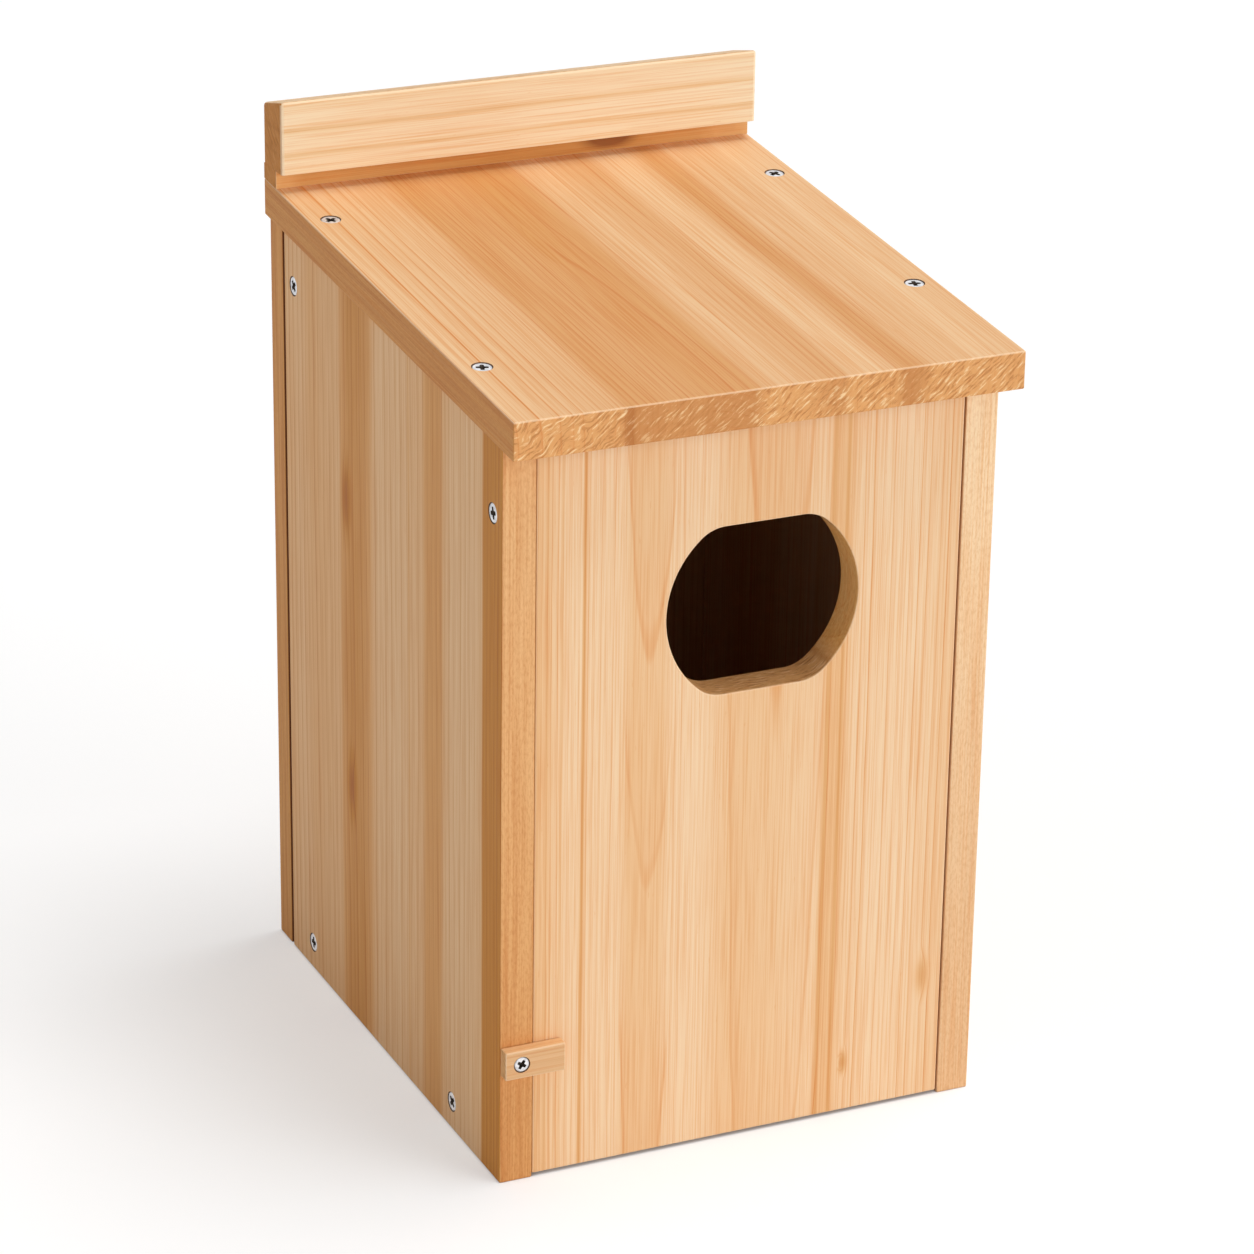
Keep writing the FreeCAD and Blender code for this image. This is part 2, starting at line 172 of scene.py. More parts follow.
def carve(piece, cutter_bm):
    """Takes the cutter's shapes out of a piece and keeps the result as its mesh."""
    cutter = new_object("cutter", cutter_bm)
    modifier = piece.modifiers.new("carve", "BOOLEAN")
    modifier.object = cutter
    modifier.operation = "DIFFERENCE"
    modifier.solver = "EXACT"
    carved = bpy.data.meshes.new_from_object(piece.evaluated_get(bpy.context.evaluated_depsgraph_get()))
    piece.modifiers.clear()
    before = piece.data
    piece.data = carved
    bpy.data.meshes.remove(before)
    bpy.data.objects.remove(cutter)


# Screws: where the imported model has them, read from its own meshes

class Screw:
    def __init__(self, points, shank):
        centre = points.mean(axis=0)
        axis = np.linalg.svd(points - centre)[2][0]
        along = (points - centre) @ axis
        radial = np.linalg.norm(points - centre - np.outer(along, axis), axis=1)
        if along[radial.argmax()] < 0:
            axis = -axis
            along = -along
        self.out = Vector(axis)
        self.top = Vector(centre + axis * along.max())
        self.head = 2 * radial.max() / MM
        self.length = (along.max() - along.min()) / MM
        self.shank = shank
        self.low = Vector(points.min(axis=0))
        self.high = Vector(points.max(axis=0))

    def place(self, turn=0.0, lift=0.0):
        """From millimetres about +Z, with the middle of the head at the origin, to the frame."""
        swing = Z.rotation_difference(self.out).to_matrix().to_4x4()
        return (Matrix.Translation(self.top + self.out * lift * MM) @ swing
                @ Matrix.Rotation(turn, 4, "Z") @ Matrix.Scale(MM, 4))

    def meets(self, low, high):
        return all(self.low[i] < high[i] and self.high[i] > low[i] for i in range(3))


def screws_in(node, shank):
    bm = bmesh.new()
    bm.from_mesh(node.data)
    bmesh.ops.remove_doubles(bm, verts=bm.verts, dist=1e-6)
    seen = set()
    found = []
    for start in bm.verts:
        if start in seen:
            continue
        seen.add(start)
        island = [start]
        for vert in island:
            for edge in vert.link_edges:
                other = edge.other_vert(vert)
                if other not in seen:
                    seen.add(other)
                    island.append(other)
        found.append(Screw(np.array([v.co for v in island]), shank))
    bm.free()
    return found


SHANKS = {"latch_screw": 3.5, "pivot_screw_left": 5, "pivot_screw_right": 5}
WOOD_SHANK = 4
SCREW_NODES = sorted(name for name in frame["nodes"] if "screw" in name)
SCREWS = {name: screws_in(frame["nodes"][name], SHANKS.get(name, WOOD_SHANK)) for name in SCREW_NODES}

RIM_EASE = 0.3
CROSS_SPAN = 0.64
CROSS_HALF_WIDTH = 0.095
CROSS_FILL = 1.25
RECESS_DEPTH = 1.9
RECESS_FLOOR = 0.5
THREAD_PITCH = 2.4
THREAD_STEPS = 5
THREAD_HEIGHT = 0.5
RIDGE_SLOPE = 2.2
PLAIN_SHARE = 0.35
TIP_LENGTH = 7
TIP_RADIUS = 0.25
TIP_SHORT = 0.2


def cross_outline(span, half_width, scale, height):
    """The cross recess as twelve points, with its inner corners filled a little."""
    inner = half_width * CROSS_FILL
    quarter = [(span / 2, -half_width), (span / 2, half_width), (inner, inner)]
    points = []
    for turn in range(4):
        swing = Matrix.Rotation(turn * math.pi / 2, 3, "Z")
        points += [swing @ Vector((x * scale, y * scale, 0)) + Z * height for x, y in quarter]
    return points


def add_screw(bm, screw, turn):
    place = screw.place(turn, -HEAD_SINK)
    head = screw.head / 2
    shank = screw.shank / 2
    cone = head - shank
    plain = PLAIN_SHARE * screw.length
    thread_end = screw.length - TIP_LENGTH
    rows = [(head - RIM_EASE, 0), (head, -RIM_EASE), (shank, -cone - RIM_EASE / 2), (shank, -plain)]
    steps = int((thread_end - plain) / THREAD_PITCH * THREAD_STEPS)
    for i in range(1, steps):
        height = -plain - i * THREAD_PITCH / THREAD_STEPS

        def ridge(share, height=height):
            phase = (height / THREAD_PITCH + share) % 1.0
            return shank - THREAD_HEIGHT * min(1.0, RIDGE_SLOPE * abs(phase - 0.5))
        rows.append((ridge, height))
    rows.append((shank - THREAD_HEIGHT, -thread_end))
    rows.append((TIP_RADIUS, TIP_SHORT - screw.length))
    rings = [add_ring(bm, place, radius, height) for radius, height in rows]
    join_rings(bm, rings)
    bm.faces.new(rings[-1][::-1])
    span = CROSS_SPAN * screw.head
    half_width = CROSS_HALF_WIDTH * screw.head
    mouth = [bm.verts.new(place @ p) for p in cross_outline(span, half_width, 1.0, 0)]
    floor = [bm.verts.new(place @ p) for p in cross_outline(span, half_width, RECESS_FLOOR, -RECESS_DEPTH)]
    loops = []
    for loop in (rings[0], mouth):
        for i, vert in enumerate(loop):
            other = loop[(i + 1) % len(loop)]
            loops.append(bm.edges.get((vert, other)) or bm.edges.new((vert, other)))
    bmesh.ops.triangle_fill(bm, use_beauty=True, use_dissolve=False, edges=loops)
    # The cross recess takes the second material: grime, with painted shade on top of it.
    for i in range(len(mouth)):
        j = (i + 1) % len(mouth)
        bm.faces.new((mouth[i], floor[i], floor[j], mouth[j])).material_index = 1
    bm.faces.new(floor).material_index = 1


def bore_rows(screw):
    """The countersunk hole for a screw, a little wider than the screw at its head."""
    head = screw.head / 2 + HEAD_GAP
    shank = screw.shank / 2 + BORE_PLAY
    return [(BORE_TIP_RADIUS, -screw.length - BORE_PAST_TIP), (shank, TIP_LENGTH - screw.length),
            (shank, shank - head), (head, 0), (head, CUT_PAST)]


def bore_screws(piece, low, high):
    """Bores a piece for the screws that reach into it, and returns those screws."""
    met = [screw for name in SCREW_NODES for screw in SCREWS[name] if screw.meets(low, high)]
    if met:
        cutter = bmesh.new()
        for screw in met:
            add_lathe(cutter, bore_rows(screw), screw.place())
        carve(piece, cutter)
    return met


def darken_bores(piece, met, index):
    """Gives the walls of a piece's screw holes the material at an index."""
    for face in piece.data.polygons:
        for screw in met:
            away = face.center - screw.top
            off_axis = (away - screw.out * away.dot(screw.out)).length / MM
            if off_axis < screw.head / 2 + HEAD_GAP and abs(face.normal.dot(screw.out)) < BOARD_FACE_FROM:
                face.material_index = index


# Shader nodes

def colour(red, green, blue):
    """A colour as seen on a screen, 0 to 255, in the linear values that sockets take."""
    shares = [c / 255 for c in (red, green, blue)]
    linear = [c / 12.92 if c <= 0.04045 else ((c + 0.055) / 1.055) ** 2.4 for c in shares]
    return (*linear, 1.0)


class Shader:
    """Short calls that add nodes to one tree and link them. A value is a number, a colour or a socket."""

    def __init__(self, tree):
        self.tree = tree
        tree.nodes.clear()

    def add(self, kind, inputs=None, **settings):
        node = self.tree.nodes.new(kind)
        for key, value in settings.items():
            setattr(node, key, value)
        for key, value in (inputs or {}).items():
            if isinstance(value, bpy.types.NodeSocket):
                self.tree.links.new(value, node.inputs[key])
            else:
                node.inputs[key].default_value = value
        return node

    def math(self, operation, *values):
        node = self.add("ShaderNodeMath", dict(enumerate(values)), operation=operation)
        return node.outputs[0]

    def plus(self, *values):
        total = values[0]
        for value in values[1:]:
            total = self.math("ADD", total, value)
        return total

    def times(self, *values):
        total = values[0]
        for value in values[1:]:
            total = self.math("MULTIPLY", total, value)
        return total

    def dot(self, vector, axis):
        node = self.add("ShaderNodeVectorMath", {0: vector, 1: axis}, operation="DOT_PRODUCT")
        return node.outputs["Value"]

    def vector(self, x, y, z):
        return self.add("ShaderNodeCombineXYZ", {0: x, 1: y, 2: z}).outputs[0]

    def noise(self, vector, detail=2.0, roughness=0.5, scale=1.0):
        return self.add("ShaderNodeTexNoise", {"Vector": vector, "Scale": scale, "Detail": detail,
                                               "Roughness": roughness, "Distortion": 0.0}).outputs[0]

    def white(self, value):
        return self.add("ShaderNodeTexWhiteNoise", {"W": value}, noise_dimensions="1D").outputs["Value"]

    def between(self, value, low, high, to_low=0.0, to_high=1.0, smooth=True):
        kind = "SMOOTHSTEP" if smooth else "LINEAR"
        return self.add("ShaderNodeMapRange", {0: value, 1: low, 2: high, 3: to_low, 4: to_high},
                        interpolation_type=kind).outputs[0]

    def mix(self, share, first, second, blend="MIX"):
        return self.add("ShaderNodeMix", {0: share, 6: first, 7: second}, data_type="RGBA",
                        blend_type=blend).outputs[2]

    def ramp(self, value, stops, interpolation="LINEAR"):
        node = self.add("ShaderNodeValToRGB", {0: value})
        ramp = node.color_ramp
        ramp.interpolation = interpolation
        ramp.elements.remove(ramp.elements[1])
        ramp.elements[0].position = stops[0][0]
        ramp.elements[0].color = stops[0][1]
        for position, value in stops[1:]:
            ramp.elements.new(position).color = value
        return node.outputs[0]

    def split(self, colours):
        node = self.add("ShaderNodeSeparateColor", {0: colours})
        return node.outputs[0], node.outputs[1], node.outputs[2]


def new_shader(name):
    material = bpy.data.materials.new(name)
    material.use_nodes = True
    return material, Shader(material.node_tree)


# Wood

class Stave:
    """One strip of an edge-glued board: where it starts, where its pith lay across and behind the face, the
    width of its rings in millimetres, how strong their lines are, and how fast the log tapers."""

    def __init__(self, start, pith, deep, ring, lines, taper=0.0):
        self.start = start
        self.pith = pith
        self.deep = deep
        self.ring = ring
        self.lines = lines
        self.taper = taper


PITH_SPAN = 1000.0
DEEP_SPAN = 400.0
RING_SPAN = 20.0
TAPER_SPAN = 0.2
KNOT_PUSH = 5.0
EDGE_SHARE = 0.85


def wood_place(s, board):
    """Where a point lies in its board, in mm: across it (a), behind its face (d), along its grain (g)."""
    place = s.add("ShaderNodeTexCoord")
    point = place.outputs["Object"]
    per_mm = 1 / MM
    return SimpleNamespace(
        a=s.math("SUBTRACT", s.dot(point, board["across"] * per_mm), board["from"]),
        d=s.math("SUBTRACT", s.dot(point, board["deep"] * per_mm), board["face"]),
        g=s.dot(point, board["along"] * per_mm),
        normal=place.outputs["Normal"])


def grain_noise(s, at, across, along, detail, roughness=0.5, start=0.0, start_along=0.0):
    """Noise drawn out along the grain: its steps in a millimetre across and along, and where it starts."""
    x = s.math("MULTIPLY_ADD", at.a, across, start)
    z = s.math("MULTIPLY_ADD", at.g, along, start_along)
    return s.noise(s.vector(x, s.times(at.d, across), z), detail, roughness)


def knot_spots(s, board, at, ripple):
    """How far knots push the grain aside and how much they darken it. Negative depths are pale patches."""
    push = 0.0
    tone = 0.0
    for across, along, half_width, half_length, depth in board.get("knots", ()):
        far = s.math("POWER", s.times(s.math("SUBTRACT", at.a, across), 1 / half_width), 2.0)
        long = s.math("POWER", s.times(s.math("SUBTRACT", at.g, along), 1 / half_length), 2.0)
        spot = s.between(s.math("SQRT", s.plus(far, long, s.times(ripple, 0.3))), 0.0, 1.15, 1.0, 0.0)
        push = s.plus(push, s.times(spot, KNOT_PUSH))
        tone = s.plus(tone, s.times(spot, depth))
    return push, tone


def late_wood(s, board, at, share, wander):
    """Pale early wood that darkens to a thin late-wood line, round each stave's pith."""
    width = board["width"]
    cut = []
    more = []
    for stave in board["staves"]:
        start = stave.start / width
        pith_share = (stave.pith + PITH_SPAN / 2) / PITH_SPAN
        cut.append((start, (pith_share, stave.deep / DEEP_SPAN + 0.5, stave.ring / RING_SPAN, 1)))
        more.append((start, (stave.taper / TAPER_SPAN + 0.5, stave.lines, 0, 1)))
    pith, deep, ring = s.split(s.ramp(share, cut, "CONSTANT"))
    taper, lines = s.split(s.ramp(share, more, "CONSTANT"))[:2]
    from_pith = s.math("SUBTRACT", at.a, s.math("MULTIPLY_ADD", pith, PITH_SPAN, -PITH_SPAN / 2))
    from_deep = s.math("SUBTRACT", at.d, s.math("MULTIPLY_ADD", deep, DEEP_SPAN, -DEEP_SPAN / 2))
    radius = s.math("SQRT", s.plus(s.math("POWER", from_pith, 2.0), s.math("POWER", from_deep, 2.0)))
    lean = s.times(at.g, s.math("MULTIPLY_ADD", taper, TAPER_SPAN, -TAPER_SPAN / 2))
    rings = s.math("DIVIDE", s.plus(radius, lean, wander), s.times(ring, RING_SPAN))
    uneven = s.noise(s.vector(s.times(rings, 0.45), s.times(pith, 50.0), board["seed"]), 1.0)
    rings = s.plus(rings, s.times(uneven, 1.4))
    phase = s.math("FRACT", rings)
    ring_number = s.plus(s.math("FLOOR", rings), s.times(pith, 977.0))
    vigour = s.between(s.white(ring_number), 0.0, 1.0, 0.25, 1.0, False)
    rise = s.plus(s.between(phase, 0.25, 0.92, 0.0, 0.3), s.between(phase, 0.83, 0.92, 0.0, 0.7))
    fall = s.between(phase, 0.94, 1.0, 1.0, 0.0)
    return s.times(rise, fall, vigour, lines)


def wood_tone(s, board, at, share, knot_tone):
    """Tone across the board, with broad clouds in it: 0 is pale, 1 is brown."""
    stops = [(max(0.0, mm / board["width"]), (tone / 2 + 0.25,) * 3 + (1,)) for mm, tone in board["bands"]]
    band = s.split(s.ramp(share, stops))[0]
    cloud = grain_noise(s, at, 0.03, 0.004, 3.0, start=board["seed"] + 7)
    clouds = s.times(s.math("SUBTRACT", cloud, 0.5), board.get("clouds", 0.5))
    return s.plus(s.math("MULTIPLY_ADD", band, 2.0, -0.5), clouds, knot_tone)


def planed_face(s, board, at, tone, knot_tone, late, fibre, is_edge):
    """The colour of faces and long edges: tone, late-wood lines, fibres, short flecks and blotched edges."""
    look = board["look"]
    tint = s.ramp(tone, [(0.0, look["pale"]), (0.5, look["tan"]), (1.0, look["brown"])])
    # Long edges take their own colour, from edge_foot at the foot to edge at the head; the boards given an
    # edge_foot are darker towards the bottom.
    if "edge" in board:
        foot = board["low"].dot(board["along"]) / MM
        head = board["high"].dot(board["along"]) / MM
        edge_foot = colour(*board.get("edge_foot", board["edge"]))
        edge = s.mix(s.between(at.g, foot, head), edge_foot, colour(*board["edge"]))
        tint = s.mix(s.times(is_edge, EDGE_SHARE), tint, edge)
    fleck = s.between(grain_noise(s, at, 0.75, 0.11, 2.0, 0.55), 0.66, 0.78)
    mottle = s.between(grain_noise(s, at, 0.9, 0.3, 3.0, 0.65), 0.42, 0.66)
    streak = s.between(grain_noise(s, at, 0.3, 0.006, 2.0, start_along=board["seed"]), 0.4, 0.65)
    tint = s.mix(late, tint, look["line"], "MULTIPLY")
    tint = s.mix(s.between(fibre, 0.4, 0.7, 0.0, 0.45), tint, look["line"], "MULTIPLY")
    tint = s.mix(s.times(fleck, 0.3), tint, look["line"], "MULTIPLY")
    tint = s.mix(s.times(mottle, is_edge, board.get("mottle", 0.5)), tint, look["streak"], "MULTIPLY")
    tint = s.mix(s.times(streak, is_edge, board.get("streaks", 0.4)), tint, look["streak"], "MULTIPLY")
    if "hearts" in board:
        heart = s.between(knot_tone, 0.15, 0.6, 0.0, board["hearts"])
        tint = s.mix(heart, tint, look["streak"], "MULTIPLY")
    return tint


def sawn_end(s, board, at, tone, late):
    """The colour of sawn ends, with torn strokes that lean one way or swirl at a burr; and the strokes."""
    look = board["look"]
    lean = board.get("slant", 0.7)
    burr = board.get("burr", 0.0)
    run = s.plus(s.times(at.a, math.cos(lean)), s.times(at.d, math.sin(lean)))
    rise = s.math("SUBTRACT", s.times(at.d, math.cos(lean)), s.times(at.a, math.sin(lean)))
    unrest = s.between(at.a, burr - 12, burr + 12, 6.0, 2.2)
    bend = grain_noise(s, at, 0.09, 0.01, 1.0, start=board["seed"])
    bend = s.times(s.math("SUBTRACT", bend, 0.5), unrest)
    way = s.vector(s.times(run, 0.13), s.plus(s.times(rise, 0.75), bend), s.times(at.g, 0.02))
    stroke = s.noise(way, 3.0, 0.6)
    torn = s.between(tone, 0.6, 0.9, 1.0, 0.4)
    lit = s.times(s.between(stroke, 0.55, 0.66), torn)
    cut = s.times(s.between(stroke, 0.48, 0.36), torn)
    tint = s.mix(s.between(tone, 0.2, 0.95, 0.0, 0.55), look["end"], look["end_dark"])
    if "seam" in board:
        from_seam = s.math("ABSOLUTE", s.math("SUBTRACT", at.a, board["seam"]))
        tint = s.mix(s.between(from_seam, 1.0, 4.0, 0.7, 0.0), tint, look["end_dark"])
    tint = s.mix(s.times(late, 0.5), tint, look["line"], "MULTIPLY")
    tint = s.mix(s.times(lit, 0.9), tint, look["end_light"])
    tint = s.mix(s.times(cut, 0.65), tint, look["end_dark"])
    return tint, lit, cut


def painted_rims_and_shade(s, board, at, tint):
    """Painted highlights on the eased rims, painted shade on the inner faces, and painted shade where another
    board butts.
    """
    look = board["look"]
    # Painted highlight: the eased edges that lean out towards the board's outer face are paler.
    if "rim" in board:
        lean_out = s.dot(at.normal, -board["deep"])
        rim = s.times(s.between(lean_out, 0.25, 0.35), s.between(lean_out, 0.95, 0.97, board["rim"], 0.0))
        tint = s.mix(rim, tint, look["rim"])
    # Painted shade: the board's inner faces are multiplied darker, for the dark inside of the box.
    is_inner = s.between(s.dot(at.normal, board["deep"]), 0.8, 0.95)
    tint = s.mix(s.times(is_inner, board.get("rough_inside", 0.0)), tint, look["inner"], "MULTIPLY")
    # Painted shade: the inner face is dark where another board butts, so the gap between them reads as
    # shadowed.
    if "butt" in board:
        from_rim = s.math("MINIMUM", at.a, s.math("SUBTRACT", board["width"], at.a))
        in_joint = s.between(from_rim, board["butt"] - 1.5, board["butt"] - 0.5, 1.0, 0.0)
        tint = s.mix(s.times(in_joint, is_inner), tint, look["gap"])
    return tint


def wood(name, board):
    """Softwood as a solid: growth rings round each stave's own pith, so faces, edges and ends agree."""
    material, s = new_shader(name)
    at = wood_place(s, board)
    is_edge = s.between(s.math("ABSOLUTE", s.dot(at.normal, board["across"])), 0.6, 0.85)
    is_end = s.between(s.math("ABSOLUTE", s.dot(at.normal, board["along"])), 0.55, 0.8)

    # The grain's slow wander along the board.
    slow = grain_noise(s, at, 0.011, 0.0016, 1.0, start=board["seed"])
    quick = grain_noise(s, at, 0.045, 0.006, 2.0, start=board["seed"])
    push, knot_tone = knot_spots(s, board, at, quick)
    wander = s.plus(s.times(s.math("SUBTRACT", slow, 0.5), board.get("wander", 14.0)),
                    s.times(s.math("SUBTRACT", quick, 0.5), board.get("ripple", 3.0)), push)
    share = s.times(s.plus(at.a, s.times(wander, board.get("drift", 0.0))), 1 / board["width"])

    # Colour. Late-wood lines are fainter on the board's long edges.
    late = s.times(late_wood(s, board, at, share, wander), s.math("MULTIPLY_ADD", is_edge, -0.5, 1.0))
    fibre = grain_noise(s, at, 1.1, 0.012, 3.0, 0.6)
    tone = wood_tone(s, board, at, share, knot_tone)
    face = planed_face(s, board, at, tone, knot_tone, late, fibre, is_edge)
    end, lit, cut = sawn_end(s, board, at, tone, late)
    tint = painted_rims_and_shade(s, board, at, s.mix(is_end, face, end))

    # Relief and gloss.
    face_relief = s.plus(s.times(late, 0.35), s.times(fibre, 0.5))
    end_relief = s.plus(s.times(lit, 1.6), s.times(cut, -1.2), s.times(fibre, 0.5))
    relief = s.plus(s.times(face_relief, s.math("SUBTRACT", 1.0, is_end)), s.times(end_relief, is_end))
    bump = s.add("ShaderNodeBump", {"Strength": 0.55, "Distance": 0.00022, "Height": relief})
    rough = s.plus(s.between(fibre, 0.2, 0.8, 0.52, 0.66, False), s.times(is_end, 0.14))
    surface = s.add("ShaderNodeBsdfPrincipled", {"Base Color": tint, "Roughness": rough, "Metallic": 0.0,
                                                 "Specular IOR Level": 0.3, "Normal": bump.outputs[0]})
    s.add("ShaderNodeOutputMaterial", {0: surface.outputs[0]})
    return material


# Colours as seen on a screen

LINE = (238, 188, 120)
# Painted shade multiplied onto the inner faces.
INNER_SHADE = (170, 136, 104)
SIDE_LINE = (226, 186, 130)
STREAK = (222, 186, 140)
# Painted shade for the gap where a side board meets the back board.
GAP_SHADE = (104, 54, 18)
# Painted highlight colour for the eased rims.
RIM_HIGHLIGHT = (255, 232, 198)
END = ((226, 164, 102), (250, 212, 160), (180, 110, 52))
BAR_END = ((201, 134, 66), (211, 149, 82), (174, 110, 46))


def palette(pale, tan, brown, end=END, line=LINE):
    shades = dict(zip(("end", "end_light", "end_dark"), end), pale=pale, tan=tan, brown=brown, line=line,
                  streak=STREAK, inner=INNER_SHADE, gap=GAP_SHADE, rim=RIM_HIGHLIGHT)
    return {part: colour(*shade) for part, shade in shades.items()}


FRONT_LOOK = palette((243, 210, 171), (235, 190, 140), (221, 160, 94),
                     ((218, 164, 104), (236, 192, 140), (168, 108, 54)))
SIDE_LOOK = palette((240, 199, 152), (228, 171, 107), (205, 138, 48), line=SIDE_LINE)
ROOF_LOOK = palette((241, 200, 153), (229, 177, 123), (219, 157, 92))
RAIL_LOOK = palette((243, 221, 187), (236, 204, 160), (214, 167, 112), BAR_END)
RISER_LOOK = palette((226, 173, 110), (208, 149, 78), (150, 90, 38), BAR_END)
BUTTON_LOOK = palette((228, 186, 140), (214, 166, 116), (190, 138, 90),
                      ((222, 168, 110), (236, 190, 138), (190, 136, 84)))

# Staves, and bands of tone as (millimetres across the board, tone)

FRONT_STAVES = [
    Stave(0, -120, 40, 2.8, 0.7),
    Stave(25, -200, 60, 3.4, 0.6),
    Stave(47, 60, 38.6, 3.6, 0.8, -0.02),
    Stave(73, 330, 30, 3.2, 0.45),
    Stave(103, 131, 60, 4.6, 0.75, -0.016),
    Stave(160, 290, 40, 3.0, 0.7),
    Stave(175, 420, 15, 5.4, 0.95),
]
FRONT_BANDS = [
    (0, 0.6), (4, 0.4), (4.8, 0.65), (5.6, 0.65), (6.4, 0.4), (11.8, 0.2), (12.6, 0.45), (13.4, 0.45),
    (14.2, 0.16), (23.6, 0.06), (24.6, 0.95), (25.4, 0.95), (26.4, 0.1), (44, 0.02), (51, 0.4), (68, 0.4),
    (74, 0.08), (90, 0.05), (106, 0.36), (134, 0.34), (157, 0.1), (159, 0.45), (160, 0.85), (161, 0.85),
    (162, 0.5), (166.5, 0.45), (167.5, 0.85), (168.5, 0.85), (169.5, 0.42), (175, 0.1), (206, 0.0),
    (232, 0.35),
]
SIDE_STAVES = [
    Stave(0, -260, 30, 5.0, 1.0),
    Stave(25, 300, 10, 6.5, 0.9),
    Stave(76, 200, 60, 5.5, 1.0),
    Stave(101, -160, 20, 7.5, 0.9),
    Stave(176, 260, 30, 5.0, 1.0),
    Stave(222, -90, 30, 6.0, 1.0),
]
SIDE_BANDS = [
    (0, 1.0), (24, 1.0), (25.2, 0.05), (66, 0.0), (76, 0.2), (80, 0.58), (98, 0.58), (104, 0.2),
    (120.5, 0.12), (121.7, 0.6), (123, 0.1), (136, 0.02), (168, 0.05), (178, 0.55), (186, 0.75), (206, 0.82),
    (216, 0.6), (220, 0.22), (260, 0.28), (276, 0.1), (292, 0.18), (300, 0.4),
]
RIGHT_STAVES = [
    Stave(0, 260, 24, 3.4, 0.5),
    Stave(58, 92, 50, 4.0, 0.7, -0.02),
    Stave(130, -120, 16, 5.2, 0.6),
    Stave(205, 420, 30, 3.8, 0.6),
]
RIGHT_BANDS = [
    (0, 0.0), (30, 0.08), (56, 0.2), (60, 0.5), (96, 0.6), (128, 0.42), (133, 0.1), (170, 0.02), (203, 0.12),
    (208, 0.4), (250, 0.5), (280, 0.2), (300, 0.3),
]
ROOF_STAVES = [
    Stave(0, -180, 20, 7.5, 1.0),
    Stave(40, -150, 30, 3.2, 0.75),
    Stave(104, 90, 90, 3.0, 0.8, 0.01),
    Stave(134, 260, 60, 3.6, 0.75),
    Stave(178, -300, 10, 3.0, 1.0),
    Stave(200, 400, 40, 3.4, 0.75),
    Stave(222, 500, 20, 3.6, 0.65),
]
ROOF_BANDS = [
    (0, 0.0), (14, 0.12), (38, 0.18), (56, 0.36), (62, 0.85), (84, 0.72), (104, 0.9), (126, 0.85), (134, 0.3),
    (146, 0.1), (156, 0.35), (174, 0.55), (181, 0.1), (194, -0.05), (201, 0.3), (210, 0.88), (217, 0.7),
    (224, 0.26), (244, 0.2), (252, -0.05), (262, 0.12), (276, 0.1),
]
RAIL_STAVES = [Stave(0, 70, 46, 7.0, 0.25, 0.01)]
RAIL_BANDS = [
    (0, 0.3), (5, 0.12), (8, 0.1), (10.2, 0.62), (11.4, 0.5), (12.6, 0.06), (18, 0.02), (21.5, 0.06),
    (23.8, 0.62), (25, 0.5), (26.2, 0.06), (33, 0.02), (36, 0.2), (40, 0.25),
]
RISER_BANDS = [(0, 0.25), (11, 0.25)]
BUTTON_BANDS = [(0, 0.4), (3, 0.15), (7, 0.3), (9, 0.1), (13, 0.2), (15.5, 0.1)]
BACK_STAVES = [
    Stave(0, -200, 20, 4.0, 0.6),
    Stave(36, 330, 30, 3.4, 0.5),
    Stave(123, 150, 45, 4.2, 0.7, -0.015),
    Stave(178, -90, 25, 5.0, 0.6),
]
BACK_BANDS = [
    (0, 0.6), (34, 0.5), (38, 0.15), (88, 0.05), (120, 0.2), (126, 0.6), (160, 0.7), (176, 0.5), (180, 0.1),
    (228, 0.05), (240, 0.3), (270, 0.45),
]


def board(node, piece, body, slot, deep, along, across, look, staves, bands, seed, **more):
    low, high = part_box(node)
    width = abs((high - low).dot(across)) / MM
    start = min(low.dot(across), high.dot(across)) / MM
    face = min(low.dot(deep), high.dot(deep)) / MM
    return {"node": node, "piece": piece, "body": body, "slot": slot, "deep": deep, "along": along,
            "across": across, "look": look, "staves": staves, "bands": bands, "seed": seed, "from": start,
            "face": face, "width": width, "low": low, "high": high, **more}
